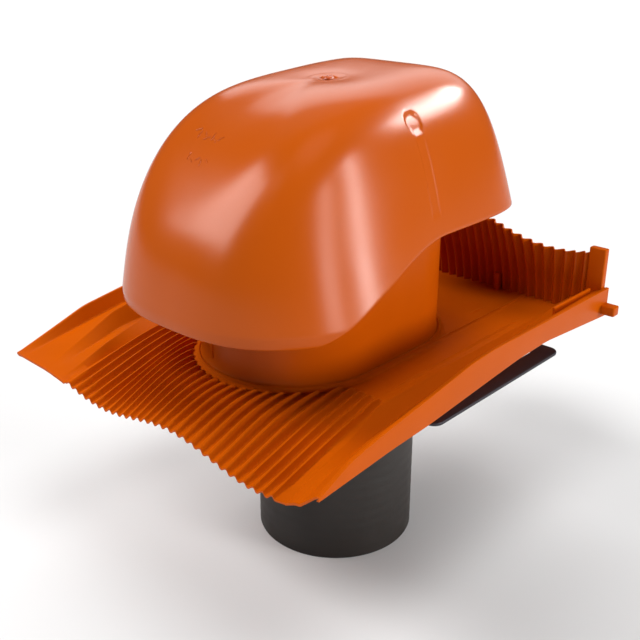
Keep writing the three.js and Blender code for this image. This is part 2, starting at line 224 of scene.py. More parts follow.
def mouldedPlastic(name, look):
    # Moulded polypropylene: smooth, a little waxy, with a fine even grain from the tool's surface,
    # slow drifts of gloss where the melt cooled at different rates, and faint flow marks in the colour.
    material = bpy.data.materials.new(name)
    tree = emptyTree(material)
    place = addNode(tree, "ShaderNodeTexCoord")

    def noise(sizeMm, settings):
        scale = {"Scale": 1000 / sizeMm}
        return addNode(tree, "ShaderNodeTexNoise", scale | settings, {"Vector": (place, "Object")})

    flow = noise(look["flowMm"], {"Detail": 3.0, "Distortion": 0.6})
    gloss = noise(look["glossMm"], {"Detail": 2.0})
    grain = noise(look["grainMm"], {"Detail": 2.0})
    # The mix node's colours are its sockets 6 and 7, and its mixed colour is output 2.
    colour = addNode(tree, "ShaderNodeMix", {"data_type": "RGBA", "blend_type": "MIX"})
    tree.links.new(flow.outputs["Fac"], colour.inputs["Factor"])
    colour.inputs[6].default_value = linear(look["deep"])
    colour.inputs[7].default_value = linear(look["light"])
    rough = addNode(tree, "ShaderNodeMapRange",
                    {"From Min": 0.3, "From Max": 0.7, "To Min": look["roughLow"],
                     "To Max": look["roughHigh"]},
                    {"Value": (gloss, "Fac")})
    bump = addNode(tree, "ShaderNodeBump", {"Strength": look["grainStrength"], "Distance": 0.0002},
                   {"Height": (grain, "Fac")})
    shader = addNode(tree, "ShaderNodeBsdfPrincipled",
                     {"IOR": look["ior"], "Specular IOR Level": look["gloss"]},
                     {"Roughness": (rough, "Result"), "Normal": (bump, "Normal")})
    tree.links.new(colour.outputs[2], shader.inputs["Base Color"])
    addNode(tree, "ShaderNodeOutputMaterial", {}, {"Surface": (shader, "BSDF")})
    return material


# Orange polypropylene, satin on the hood and a little glossier on the base.
hoodPlastic = mouldedPlastic("orangePolypropyleneHood", {
    "deep": "#B64E08", "light": "#BD530A", "flowMm": 70, "glossMm": 45, "roughLow": 0.21, "roughHigh": 0.25,
    "grainMm": 1.1, "grainStrength": 0.10, "ior": 1.49, "gloss": 0.24})
basePlastic = mouldedPlastic("orangePolypropyleneBase", {
    "deep": "#BC5002", "light": "#C65604", "flowMm": 40, "glossMm": 25, "roughLow": 0.30, "roughHigh": 0.38,
    "grainMm": 1.1, "grainStrength": 0.10, "ior": 1.49, "gloss": 0.1})
screwPlastic = mouldedPlastic("orangeNylonScrew", {
    "deep": "#B04A18", "light": "#C25A24", "flowMm": 6, "glossMm": 4, "roughLow": 0.28, "roughHigh": 0.38,
    "grainMm": 0.9, "grainStrength": 0.15, "ior": 1.53, "gloss": 0.5})
# Extruded and moulded black polypropylene: a warm black with a satin face.
pipePlastic = mouldedPlastic("blackPolypropylenePipe", {
    "deep": "#28231F", "light": "#312B27", "flowMm": 30, "glossMm": 18, "roughLow": 0.40, "roughHigh": 0.50,
    "grainMm": 1.2, "grainStrength": 0.22, "ior": 1.49, "gloss": 0.45})
platePlastic = mouldedPlastic("blackPolypropyleneSheet", {
    "deep": "#302C33", "light": "#39343C", "flowMm": 25, "glossMm": 14, "roughLow": 0.42, "roughHigh": 0.52,
    "grainMm": 1.2, "grainStrength": 0.2, "ior": 1.49, "gloss": 0.24})
print("materials made")


# ---- Hood

hood = {
    "halfWidth": 109.6, "front": 157.3, "back": 124.4, "centreY": -3.8, "top": 362.0, "topSlope": 0.062,
    "shoulderFront": 228.5, "shoulderBack": 226.9, "planFront": 2.75, "planBack": 5.45,
    "roundFront": 2.49, "roundSide": 5.36, "roundBack": 7.22, "blendFront": 1.458, "blendBack": 3.986,
    "sideLeanFront": 0.272, "sideLeanBack": 0.3, "leanFront": 0.084, "leanBack": 0.246, "tuck": 0.16,
    "rimFront": 221.1, "rimBack": 267.8, "rimTurnY": -116.6, "rimTurnLength": 119.1, "rimCurve": 1.3,
    "wall": 2.6, "columns": 480, "rows": 104, "innerRows": 30, "wallRows": 5,
    "columnLevel": 0.75, "denser": 2.2, "denserReach": 16.0,
}
dimple = {"y": -8.0, "above": 340.0, "dish": 1.6, "dishRadius": 17.0, "ringRadius": 12.6, "ringWidth": 1.0,
          "ringHeight": 0.3, "pitRadius": 5.2, "pitInside": 1.6, "pitOutside": 2.2, "pitDepth": 2.4}
pocket = {"y": -10.0, "z": 340.0, "beyond": 55.0, "radius": 7.6, "squash": 1.15, "edgeInside": 1.3,
          "edgeOutside": 0.5, "depth": 1.0}
strip = {"topY": -9.5, "topZ": 330.0, "footY": -8.4, "footZ": 281.0, "halfWidth": 5.2, "edge": 2.0,
         "depth": 0.28}


def hoodSurface(polar, level, inset=0.0):
    # The plan is a superellipse and polar is the direction on it once it is scaled to a unit square.
    # Down each direction the height falls along a second superellipse. Levels 0 to 1 reach from the
    # top to the rim or shoulder, and levels 1 to 2 go down the wall where the rim is below the shoulder.
    px, py = np.cos(polar), np.sin(polar)
    front = py < 0
    plan = np.where(front, hood["planFront"], hood["planBack"])
    norm = (np.abs(px) ** plan + np.abs(py) ** plan) ** (1 / plan)
    unitX, unitY = px / norm, py / norm
    turnSine = signedPower(unitY, plan / 2)
    length = np.where(front, hood["front"], hood["back"])
    flatX, flatY = (hood["halfWidth"] - inset) * unitX, (length - inset) * unitY
    outerY = hood["centreY"] + length * unitY
    climb = np.clip((outerY - hood["rimTurnY"]) / hood["rimTurnLength"], 0, 1)
    rimRise = np.sin(climb * math.pi / 2) ** hood["rimCurve"]
    rim = hood["rimFront"] + (hood["rimBack"] - hood["rimFront"]) * rimRise
    backShare = (1 + turnSine) / 2
    shoulder = hood["shoulderFront"] + (hood["shoulderBack"] - hood["shoulderFront"]) * backShare
    share = np.abs(turnSine) ** np.where(front, hood["blendFront"], hood["blendBack"])
    roundEnd = np.where(front, hood["roundFront"], hood["roundBack"])
    n = hood["roundSide"] + (roundEnd - hood["roundSide"]) * share
    topHere = hood["top"] + hood["topSlope"] * (outerY - hood["centreY"]) - inset
    endUp = np.clip((rim - shoulder) / (topHere - shoulder), 0, 1)
    endAngle = np.arctan2((1 - endUp ** n) ** (1 / n), endUp)
    angle = np.minimum(level, 1) * endAngle
    scale = (np.sin(angle) ** n + np.cos(angle) ** n) ** (1 / n)
    out, up = np.sin(angle) / scale, np.cos(angle) / scale
    sideLean = hood["sideLeanFront"] + (hood["sideLeanBack"] - hood["sideLeanFront"]) * backShare
    lean = np.where(front, hood["leanFront"], hood["leanBack"])
    x = flatX * out * (1 - sideLean * up)
    y = hood["centreY"] + flatY * out * (1 - lean * up)
    top = hood["top"] + hood["topSlope"] * (y - hood["centreY"]) - inset
    z = shoulder + (top - shoulder) * up
    wallZ = shoulder + (np.minimum(rim, shoulder) - shoulder) * np.clip(level - 1, 0, 1)
    tuck = 1 - hood["tuck"] * ((shoulder - wallZ) / 50) ** 2
    below = (level > 1) & (rim < shoulder)
    x = np.where(below, flatX * tuck, x)
    y = np.where(below, hood["centreY"] + flatY * tuck, y)
    z = np.where(below, wallZ, z)
    return np.stack(np.broadcast_arrays(axisX + x, y, z), -1)


def hoodNormal(polar, level):
    # The cross product of two short steps on the surface, pointing away from the hood's middle.
    step = 2e-3
    a = hoodSurface(polar + step, level) - hoodSurface(polar - step, level)
    b = hoodSurface(polar, np.minimum(level + step, 1.0)) - hoodSurface(polar, np.maximum(level - step, 1e-3))
    normal = np.cross(a, b)
    normal /= np.linalg.norm(normal, axis=-1, keepdims=True) + 1e-12
    away = hoodSurface(polar, level) - np.array([axisX, 0, 270])
    return normal * np.sign((normal * away).sum(-1, keepdims=True))


def hoodRelief(points):
    # Height of the moulded details above the plain shell, from the distance to each one's middle.
    x, y, z = points[..., 0], points[..., 1], points[..., 2]
    r = np.hypot(x - axisX, y - dimple["y"])
    pitEdge = dimple["pitRadius"] - dimple["pitInside"], dimple["pitRadius"] + dimple["pitOutside"]
    relief = -dimple["dish"] * np.exp(-(r / dimple["dishRadius"]) ** 2)
    relief += dimple["ringHeight"] * np.exp(-((r - dimple["ringRadius"]) / dimple["ringWidth"]) ** 2)
    relief -= dimple["pitDepth"] * (1 - smoothStep(r, *pitEdge))
    relief = np.where(z > dimple["above"], relief, 0)
    side = np.abs(x - axisX) > pocket["beyond"]
    r = np.hypot(y - pocket["y"], (z - pocket["z"]) * pocket["squash"])
    pocketEdge = pocket["radius"] - pocket["edgeInside"], pocket["radius"] + pocket["edgeOutside"]
    relief -= np.where(side, pocket["depth"] * (1 - smoothStep(r, *pocketEdge)), 0)
    # t runs from 0 at the strip's foot to 1 at its top, and the strip fades out just past both ends.
    t = (z - strip["footZ"]) / (strip["topZ"] - strip["footZ"])
    across = np.abs(y - (strip["footY"] + (strip["topY"] - strip["footY"]) * t))
    inside = 1 - smoothStep(across, strip["halfWidth"] - strip["edge"], strip["halfWidth"])
    inside *= smoothStep(t, -0.02, 0.01) * (1 - smoothStep(t, 0.98, 1.01))
    relief -= np.where(side, strip["depth"] * inside, 0)
    return relief


def hoodColumns():
    # Directions at even steps of length round the shell, three times as close near the side pockets.
    dense = np.linspace(-math.pi / 2, 1.5 * math.pi, 6001)
    line = hoodSurface(dense, np.float64(hood["columnLevel"]))
    middle = (line[1:] + line[:-1]) / 2
    near = np.exp(-((middle[:, 1] - pocket["y"]) / hood["denserReach"]) ** 2)
    steps = np.linalg.norm(np.diff(line, axis=0), axis=1) * (1 + hood["denser"] * near)
    run = np.concatenate([[0], np.cumsum(steps)])
    return np.interp(np.linspace(0, run[-1], hood["columns"] + 1)[:-1], run, dense)


def makeHood():
    columns = hoodColumns()[None]
    rows = np.linspace(0, 1, hood["rows"])[:, None]
    lowRows = 1 + np.linspace(0, 1, hood["wallRows"] + 1)[1:, None]
    outer = hoodSurface(columns, rows)
    outer += hoodNormal(columns, np.clip(rows, 0.002, 1)) * hoodRelief(outer)[..., None]
    outer = np.concatenate([outer, hoodSurface(columns, lowRows)])
    innerRows = np.concatenate([lowRows[::-1], np.linspace(1, 0, hood["innerRows"])[:, None]])
    inner = hoodSurface(columns, innerRows, hood["wall"])
    middle, half = (outer[-1] + inner[0]) / 2, (outer[-1] - inner[0]) / 2
    turn = np.linspace(0, math.pi, 7)[1:-1, None, None]
    lip = middle + half * np.cos(turn) - np.array([0, 0, 1.0]) * np.sin(turn)
    return turnedBody(np.concatenate([outer, lip, inner]))


# Each row of bars: direction of its first bar, level down the shell, number of bars and their length.
marks = {"rows": [(-2.02, 0.445, 7, 7.5), (-1.86, 0.520, 5, 6.0)], "step": 0.062, "stagger": 0.010,
         "slants": (-0.55, 1.15, 0.35), "width": 1.3, "height": 0.5, "sink": 0.05, "root": 0.5,
         "mmPerTurn": 118.0, "mmPerLevel": 235.0}


def hoodMark(polar, level, length, slant):
    # A low rounded bar that lies on the shell: u runs along it and v across it, from -1 to 1. Its ends
    # are rounded by the root of one minus the sixth power of u, and its back by one minus v squared.
    u, v = np.meshgrid(np.linspace(-1, 1, 15), np.linspace(-1, 1, 7), indexing="ij")
    taper = np.sqrt(np.clip(1 - np.abs(u) ** 6, 0, 1))
    lengthways, across = u * length / 2, v * marks["width"] / 2 * taper
    dx = lengthways * math.cos(slant) - across * math.sin(slant)
    dy = lengthways * math.sin(slant) + across * math.cos(slant)
    polarGrid, levelGrid = polar + dx / marks["mmPerTurn"], level + dy / marks["mmPerLevel"]
    shell = hoodSurface(polarGrid, levelGrid)
    normal = hoodNormal(polarGrid, levelGrid)
    rise = marks["height"] * (1 - v ** 2) * taper - marks["sink"]
    return sheetBody(shell + normal * rise[..., None], shell - normal * marks["root"])


def makeMarks():
    # Two rows of short plain bars on the front, where the photo has lettering.
    bodies = []
    for row, (start, level, count, length) in enumerate(marks["rows"]):
        for i in range(count):
            place = start + marks["step"] * i, level + marks["stagger"] * (i % 2)
            bodies.append(hoodMark(*place, length, marks["slants"][(i + row) % 3]))
    return bodies


hoodPiece = addPiece("hoodShell", [makeHood()] + makeMarks(), hoodPlastic, ["hood"])


# ---- Screw

screw = {"seat": 359.9, "radius": 4.2, "height": 2.0, "fall": 0.75, "slotHalf": 0.55, "slotReach": 2.5,
         "slotDepth": 1.1, "shank": 2.2, "shankEnd": 349.0, "tip": 347.6}


def makeScrew():
    # A low dome whose height falls with the fourth power of the radius, with a cross cut into it.
    turn = np.linspace(0, 2 * math.pi, 96, endpoint=False)
    r = np.linspace(0, screw["radius"], 26)[:, None]
    z = screw["seat"] + screw["height"] * (1 - screw["fall"] * (r / screw["radius"]) ** 4)
    cross = np.minimum(np.abs(r * np.cos(turn)), np.abs(r * np.sin(turn)))
    inCross = 1 - smoothStep(cross, screw["slotHalf"] - 0.15, screw["slotHalf"] + 0.1)
    inCross *= 1 - smoothStep(r, screw["slotReach"] - 0.3, screw["slotReach"])
    top = roundGrid(r, z - screw["slotDepth"] * inCross, turn, axisX, dimple["y"])
    under = np.array([(screw["radius"], screw["seat"]), (screw["shank"], screw["seat"]),
                      (screw["shank"], screw["shankEnd"]), (0.01, screw["tip"])])
    return turnedBody(np.concatenate([top, roundGrid(under[:, :1], under[:, 1:], turn, axisX, dimple["y"])]))


screwPiece = addPiece("hoodScrew", [makeScrew()], screwPlastic, ["hood_screw"])


# ---- Base plate

# rowRuns: first y, last y and number of the sections through the sheet, closer over the ribs.
base = {"front": -170.0, "left": -164.5, "right": 153.5, "sheet": 2.5, "sharp": 50, "ribSteps": 10,
        "rowRuns": [(-170.0, -104.0, 46), (-103.0, -60.0, 46), (-57.5, 170.0, 44)],
        "climbLead": 40.0, "squeezeFrom": 60.0, "lap": 0.8, "thinFront": 0.5, "thinRun": 12.0}
ribs = {"first": -99.5, "pitch": 8.05, "count": 27, "height": 2.2, "endY": -66.0, "nose": 3.2,
        "collarGap": 7.5, "collarFade": 3.5, "crest": 0.66, "sharp": 1.2,
        "frontShare": 0.62, "frontRun": 18.0}
wave = {"period": 156.0, "hump": 21.0, "low": 143.4, "rise": 11.0}
collar = {"halfWidth": 68.5, "frontY": -44.0, "backY": 16.0, "steps": 220, "wall": 2.6, "apronGap": 8.0}
# Lines: middle x, half width, first y, last y, height. Studs: x, y, radius, height.
details = {
    "lines": [(85.5, 0.9, -60, 172, 1.3), (112.5, 0.8, -46, 110, 1.3), (-58.5, 1.0, -60, 172, 1.1)],
    "lineFade": 5.0,
    "studs": [(73, 109, 3.4, 1.2), (-46, 109, 3.4, 1.2), (84.5, 55, 2.6, 0.35), (97, 30, 2.4, 0.35),
              (122, -134, 2.4, -0.4)],
    "studTop": 0.55,
}

# Edges of the side rims: pairs of (y, value) that are read with a smooth line between them.
leftRim = [(-170, 151.5), (-135, 163), (-107, 172.5), (-67, 178.5), (-20, 183), (40, 186), (170, 187)]
leftFloor = [(-170, 151), (-135, 156.5), (-107, 161.5), (-70, 167.5), (-55, 168)]
ridgeTop = [(-170, 150.2), (-159, 153), (-123, 168.5), (-106, 176.5), (-90, 179.5), (170, 180)]
ridgeFoot = [(-170, 149), (-159, 153), (-118, 162), (-106, 166), (-84, 168)]
stepEdgeX = [(-170, -106.5), (-129, -106.5), (-83, -117), (-60, -115), (-40, -108)]
stepEdge = [(-170, 147.5), (-159, 151), (-129, 163), (-83, 168)]
stepFoot = [(-170, 146.5), (-129, 156), (-98, 160), (-76, 163.5), (-66, 167), (-60, 168)]
rightRim = [(-170, 160), (-142, 172), (-114, 177.5), (-63, 185), (-20, 192), (5, 193.5), (170, 191.5)]
rightSkirt = [(-170, 157.5), (-103, 163), (-69, 164.5), (6, 171.5), (40, 174.5), (77, 175.5), (170, 168)]
innerEdgeX = [(-170, 126), (-135, 126), (-105, 122), (-75, 116), (0, 114.5), (110, 113)]
innerEdge = [(-170, 144.5), (-141, 155), (-105, 160.5), (-75, 166.5), (-64, 168)]
channelX = [(-170, 134), (-141, 133.5), (-105, 130), (-65, 128), (0, 126.5), (110, 119), (140, 116)]
channel = [(-170, 148.5), (-141, 157.5), (-105, 156.5), (-65, 158.5), (0, 160), (110, 164), (140, 168)]


def along(pairs, y, blur=4.0):
    # Straight lines between the pairs, then the mean over a short bell-shaped window round each y.
    place, value = np.array(pairs, float).T
    total = 0
    for offset, weight in ((-1.5, 0.09), (-0.75, 0.24), (0, 0.34), (0.75, 0.24), (1.5, 0.09)):
        total = total + weight * np.interp(y + offset * blur, place, value)
    return total


def frontEdge(x):
    return wave["low"] + wave["rise"] * (1 + np.cos((x - wave["hump"]) / wave["period"] * 2 * math.pi)) / 2


def distanceToCollar(x, y):
    centre = np.clip(y, collar["frontY"], collar["backY"])
    return np.hypot(x - axisX, y - centre) - collar["halfWidth"]


def apronEnd(x):
    # The ribs end at a straight line, or before it where a wider half circle round the collar comes first.
    reach = collar["halfWidth"] + collar["apronGap"]
    offset = np.minimum(np.abs(x - axisX), reach)
    return np.minimum(ribs["endY"], collar["frontY"] - np.sqrt(reach ** 2 - offset ** 2))


def middleHeight(x, y):
    # The sheet climbs from its waved front edge to the flat pan along a smooth step. The step starts a
    # little before the front edge, so the part of it that falls there is taken off again.
    end, lead = apronEnd(x), base["front"] - base["climbLead"]
    climb, start = smoothStep(y, lead, end), smoothStep(base["front"], lead, end)
    edge = frontEdge(x)
    return edge + (panHeight - edge) * (climb - start) / (1 - start)


def ribRelief(x, y):
    # A cosine whose crest stands right of the middle, so that each rib is steeper on its right side.
    # It fades out before the collar's foot, each rib ends in a rounded nose at the rib line, and the
    # ribs are lower at the front edge.
    u, crest = np.mod((x - ribs["first"]) / ribs["pitch"], 1), ribs["crest"]
    turn = np.where(u < crest, 0.5 * u / crest, 0.5 + 0.5 * (u - crest) / (1 - crest))
    shape = 2 * (0.5 - 0.5 * np.cos(turn * 2 * math.pi)) ** ribs["sharp"] - 1
    inside = (x > ribs["first"]) & (x < ribs["first"] + ribs["pitch"] * ribs["count"])
    nose = np.sqrt(np.clip((ribs["endY"] + 0.5 - y) / ribs["nose"], 0, 1))
    near = smoothStep(distanceToCollar(x, y), ribs["collarGap"] - ribs["collarFade"], ribs["collarGap"])
    rise = smoothStep(y, base["front"], base["front"] + ribs["frontRun"])
    front = ribs["frontShare"] + (1 - ribs["frontShare"]) * rise
    return ribs["height"] * np.where(inside, shape, -1) * (nose * near) * front


def panDetail(x, y):
    # Low moulded lines and studs on the pan: a bell of the distance to each line's middle, and a disc
    # with a soft edge for each stud.
    detail, fade = 0, details["lineFade"]
    for centre, width, low, high, height in details["lines"]:
        bell = height * np.exp(-((x - centre) / width) ** 2)
        detail = detail + bell * smoothStep(y, low, low + fade) * (1 - smoothStep(y, high - fade, high))
    for cx, cy, radius, height in details["studs"]:
        away = np.hypot(x - cx, y - cy)
        detail = detail + height * (1 - smoothStep(away, radius * details["studTop"], radius))
    return detail


def roundCorners(x, z, radius, steps):
    # Each inner corner of a line of points becomes a short curve between the two legs that meet there.
    corner = np.stack([x, z], -1)
    into = corner[:, :-2] - corner[:, 1:-1]
    out = corner[:, 2:] - corner[:, 1:-1]
    intoLength = np.linalg.norm(into, axis=-1, keepdims=True)
    outLength = np.linalg.norm(out, axis=-1, keepdims=True)
    middle, radius = corner[:, 1:-1], radius[:, None]
    first = middle + into / np.maximum(intoLength, 1e-6) * np.minimum(radius, intoLength * 0.4)
    last = middle + out / np.maximum(outLength, 1e-6) * np.minimum(radius, outLength * 0.4)
    t = np.linspace(0, 1, steps)[None, None, :, None]
    first, middle, last = first[:, :, None], middle[:, :, None], last[:, :, None]
    curve = (1 - t) ** 2 * first + 2 * t * (1 - t) * middle + t ** 2 * last
    curve = curve.reshape(len(x), -1, 2)
    return np.concatenate([corner[:, :1], curve, corner[:, -1:]], 1)


def column(value, y):
    return np.broadcast_to(value, y.shape) if np.ndim(value) == 0 else value


def sectionSide(pairs, y, radius):
    # One line of (x, z) points per section. Each inner point is rounded with its own radius.
    x = np.stack([column(px, y) for px, _ in pairs], 1)
    z = np.stack([column(pz, y) for _, pz in pairs], 1)
    return roundCorners(x, z, np.array(radius, float), 4)


def makePan():
    y = np.concatenate([np.linspace(*run) for run in base["rowRuns"]])
    zLeft, zFloor, zRight, zSkirt = (along(t, y) for t in (leftRim, leftFloor, rightRim, rightSkirt))
    ridge, foot = along(ridgeTop, y), along(ridgeFoot, y)
    edgeX, edge, stepLow = along(stepEdgeX, y), along(stepEdge, y), along(stepFoot, y)
    innerX, inner = along(innerEdgeX, y), along(innerEdge, y)
    channelMidX, channelZ = along(channelX, y), along(channel, y)
    left, right, firstRib = base["left"], base["right"], ribs["first"]
    # The sections' side parts run from left to right: rim, floor, ridge and step on the left.
    upperLeft = sectionSide([
        (left + 0.2, zLeft - 1.2), (left, zLeft), (left + 2.2, zLeft), (left + 8, zFloor),
        (-127, ridge), (-118.5, foot), (edgeX, edge), (firstRib - 2, stepLow),
    ], y, [0.5, 0.5, 2, 0.8, 1.2, 0.8])
    lowerLeft = sectionSide([
        (left + 0.6, zLeft - 1.6), (left + 1.2, zLeft - 3), (left + 3, zLeft - 5), (left + 5.6, zFloor - 2.5),
        (-127.6, ridge - 3.2), (-120, foot - 2.5), (edgeX - 1, edge - 2.8), (firstRib - 3, stepLow - 2.5),
    ], y, [0.5, 0.5, 2, 1.5, 2, 1.0])
    # Edge, channel, slope, rim and skirt on the right. A low ledge half way up the slope fades out
    # towards the front edge, where its two lines lie on the straight slope.
    climb = zRight - channelZ
    ledge = smoothStep(y, -150, -110)
    slope = (climb - 0.5) / (right - 6.4 - channelMidX)
    ledgeLow = channelZ + 0.5 + slope * 4 + (climb * 0.42 - 0.5 - slope * 4) * ledge
    ledgeHigh = channelZ + 0.5 + slope * 6.5 + (climb * 0.47 - 0.5 - slope * 6.5) * ledge
    upperRight = sectionSide([
        (innerX, inner), (innerX + 0.8, inner - 0.2), (channelMidX, channelZ),
        (channelMidX + 4, channelZ + 0.5), (channelMidX + 8, ledgeLow), (channelMidX + 10.5, ledgeHigh),
        (right - 2.4, zRight), (right, zRight), (right, zSkirt), (right - 2.3, zSkirt),
    ], y, [0.4, 1.5, 1.2, 0.7, 0.7, 0.5, 0.5, 0.6])
    lowerRight = sectionSide([
        (innerX - 0.4, inner - 2.6), (innerX + 0.4, inner - 2.8), (channelMidX + 0.6, channelZ - 3.4),
        (channelMidX + 5, channelZ - 2.6), (channelMidX + 9, ledgeLow - 2.8),
        (channelMidX + 11.5, ledgeHigh - 2.8), (right - 4.6, zRight - 5),
        (right - 2.3, np.minimum(zRight - 2.2, zSkirt + 3)),
        (right - 2.3, zSkirt + 1.5), (right - 2.3, zSkirt + 0.5),
    ], y, [0.4, 1.5, 1.2, 0.7, 0.7, 0.8, 0.5, 0.3])
    x = np.linspace(firstRib, firstRib + ribs["pitch"] * ribs["count"], ribs["count"] * base["ribSteps"] + 1)
    gx, gy = np.meshgrid(x, y)
    sheet = middleHeight(gx, gy)
    # Right of squeezeFrom the sheet narrows evenly so that it ends just inside the channel's edge.
    start = base["squeezeFrom"]
    limit = np.minimum(x[-1], innerX - base["lap"])[:, None]
    placed = np.where(gx > start, start + (gx - start) * (limit - start) / (x[-1] - start), gx)
    upperMiddle = np.stack([placed, sheet + ribRelief(gx, gy) + panDetail(gx, gy)], -1)
    lowerMiddle = np.stack([placed, sheet + ribRelief(gx, gy) - base["sheet"]], -1)

    def whole(parts):
        flat = np.concatenate(parts, 1)
        return np.stack([flat[..., 0], np.broadcast_to(y[:, None], flat.shape[:2]), flat[..., 1]], -1)

    upper = whole([upperLeft, upperMiddle, upperRight])
    lower = whole([lowerLeft, lowerMiddle, lowerRight])
    # The sheet thins to a share of its thickness over the last millimetres before the front edge.
    full = smoothStep(y, base["front"], base["front"] + base["thinRun"])
    thickness = base["thinFront"] + (1 - base["thinFront"]) * full
    return sheetBody(upper, upper + (lower - upper) * thickness[:, None, None])


pan = looseObject("basePan", [makePan()])
combine(pan, boreCutter(150, 175), "DIFFERENCE")
finishPiece(pan, basePlastic, ["base_plate"], base["sharp"])

# blocks: opposite corners and rounding of the lug at the right end, the fin on the rim and the
# stub at the foot of the flap.
flap = {"foot": 166.5, "left": -150.0, "right": 137.4, "lean": 21.0, "leanPower": 1.6, "leanLeft": 60.0,
        "leanRight": 70.0, "straightRight": 6.0, "middle": 226.0, "wave": 10.0, "hump": 40.0, "sink": 1.5,
        "sheet": 1.5, "rib": 2.7, "sharp": 1.0, "ribSteps": 12, "rows": 22,
        "postTop": 223.5, "postWidth": 14.0, "postDepth": 6.4,
        "blocks": [((152, 160, 172), (164.5, 169, 179.5), 0.7), ((142.5, 101, 180), (144.7, 157, 192.5), 0.5),
                   ((54.3, 159.5, 167), (58.9, 165.5, 183), 0.5)]}


def makeFlap():
    # A waved sheet: its middle leans forward with a power of the height, and its top follows a cosine.
    left, right = flap["left"], flap["right"]
    count = round((right - left) / ribs["pitch"])
    x = np.linspace(left, right, count * flap["ribSteps"] + 1)
    gx, level = np.meshgrid(x, np.linspace(0, 1, flap["rows"]))
    phase = 0.5 - 0.5 * np.cos((gx - left) / (right - left) * count * 2 * math.pi)
    side = 2 * phase ** flap["sharp"] - 1
    ends = smoothStep(gx, left, left + flap["leanLeft"])
    ends = ends * (1 - smoothStep(gx, right - flap["leanRight"], right - flap["straightRight"]))
    y = flap["foot"] - flap["rib"] * side - flap["lean"] * ends * level ** flap["leanPower"]
    low = panHeight - flap["sink"]
    top = flap["middle"] + flap["wave"] * np.cos((gx - flap["hump"]) / wave["period"] * 2 * math.pi)
    z = low + (top - low) * level
    front = np.stack([gx, y - flap["sheet"] / 2, z], -1)
    back = np.stack([gx, y + flap["sheet"] / 2, z], -1)
    return sheetBody(front, back)


def makeFlapEnds():
    # A flat post at each end of the flap, and the small blocks near it.
    near, far = flap["foot"] - flap["postDepth"] / 2, flap["foot"] + flap["postDepth"] / 2
    posts = [blockBody((x, near, panHeight - 1), (x + flap["postWidth"], far, flap["postTop"]), 0.6)
             for x in (flap["right"] - 1, flap["left"] + 1 - flap["postWidth"])]
    return posts + [blockBody(*block) for block in flap["blocks"]]


addPiece("rearFlap", [makeFlap()] + makeFlapEnds(), basePlastic, ["base_plate"],
         base["sharp"])


# ---- Collar

# profile: growth of the oval and height above the foot, from the foot's inside up the outer face.
collarSection = {
    "foot": 0.15, "top": 305.0, "straight": 240.0, "lip": 0.8,
    "profile": [(-2.4, 0), (6.2, 0), (5.0, 0.25), (3.9, 0.9), (3.2, 1.7), (3.0, 2.2), (2.7, 2.9), (2.1, 3.2),
                (1.5, 2.9), (1.2, 2.4), (0.8, 2.6), (0.4, 3.4), (0.1, 5.5), (0, 9)],
}
seam = {"azimuth": -104, "low": (-2.4, -1.0, 178), "high": (2.4, 1.2, 304), "bevel": 0.45}
bridge = {"front": -15, "back": -1, "low": 290, "high": 305.6, "bevel": 1.0,
          "ribFront": -9, "ribBack": -7, "ribLow": 283, "ribHigh": 290.5, "ribInset": 2, "ribBevel": 0.6,
          "bossY": -8, "boss": [(0.01, 290.5), (8.6, 290.5), (9, 291), (9, 355), (8.4, 355.6), (2.9, 355.6),
                                (2.6, 355.3), (2.6, 346), (0.01, 346)]}


def ovalLine(grow):
    # Even steps of length round two half circles joined by straight sides.
    radius = collar["halfWidth"] + grow
    straight = collar["backY"] - collar["frontY"]
    arc = math.pi * radius
    run = np.linspace(0, 2 * (arc + straight), collar["steps"], endpoint=False)
    turn = np.where(run < arc, run / radius, math.pi)
    turn = np.where(run > arc + straight, math.pi + (run - arc - straight) / radius, turn)
    turn = np.where(run > 2 * arc + straight, 2 * math.pi, turn)
    centreY = np.where(run < arc, collar["backY"], collar["backY"] - (run - arc))
    centreY = np.where(run > arc + straight, collar["frontY"], centreY)
    centreY = np.where(run > 2 * arc + straight, collar["frontY"] + (run - 2 * arc - straight), centreY)
    return axisX + radius * np.cos(turn), centreY + radius * np.sin(turn)


def makeCollar():
    # The section starts under the foot, goes up outside, over a rounded lip and down inside.
    foot, top, wall = panHeight + collarSection["foot"], collarSection["top"], collar["wall"]
    straight, lip = collarSection["straight"], collarSection["lip"]
    section = [(grow, foot + height) for grow, height in collarSection["profile"]]
    section += [(0, straight), (0, top), (-0.4, top + lip), (-wall / 2, top + lip + 0.3),
                (0.4 - wall, top + lip), (-wall, top), (-wall, straight), (-wall, foot + 1)]
    grid = [np.stack([*ovalLine(grow), np.full(collar["steps"], height)], -1) for grow, height in section]
    return turnedBody(np.array(grid), True)


def makeSeam():
    # A flat-faced upright rib on the front left of the collar, built at the origin and turned into place.
    turn = math.radians(seam["azimuth"])
    points, faces = blockBody(seam["low"], seam["high"], seam["bevel"])
    side = np.array([-math.sin(turn), math.cos(turn), 0])
    out = np.array([math.cos(turn), math.sin(turn), 0])
    origin = np.array([axisX, collar["frontY"], 0]) + out * collar["halfWidth"]
    placed = origin + points[:, :1] * side + points[:, 1:2] * out + points[:, 2:] * np.array([0, 0, 1.0])
    return outward(placed, faces)


def makeBridge():
    # A bar across the collar with a rib under it, and the boss that takes the hood's screw.
    reach = collar["halfWidth"] - collar["wall"] / 2
    ribReach = reach - bridge["ribInset"]
    bar = blockBody((axisX - reach, bridge["front"], bridge["low"]),
                    (axisX + reach, bridge["back"], bridge["high"]), bridge["bevel"])
    rib = blockBody((axisX - ribReach, bridge["ribFront"], bridge["ribLow"]),
                    (axisX + ribReach, bridge["ribBack"], bridge["ribHigh"]), bridge["ribBevel"])
    return [bar, latheBody(bridge["boss"], 64, axisX, bridge["bossY"]), rib]


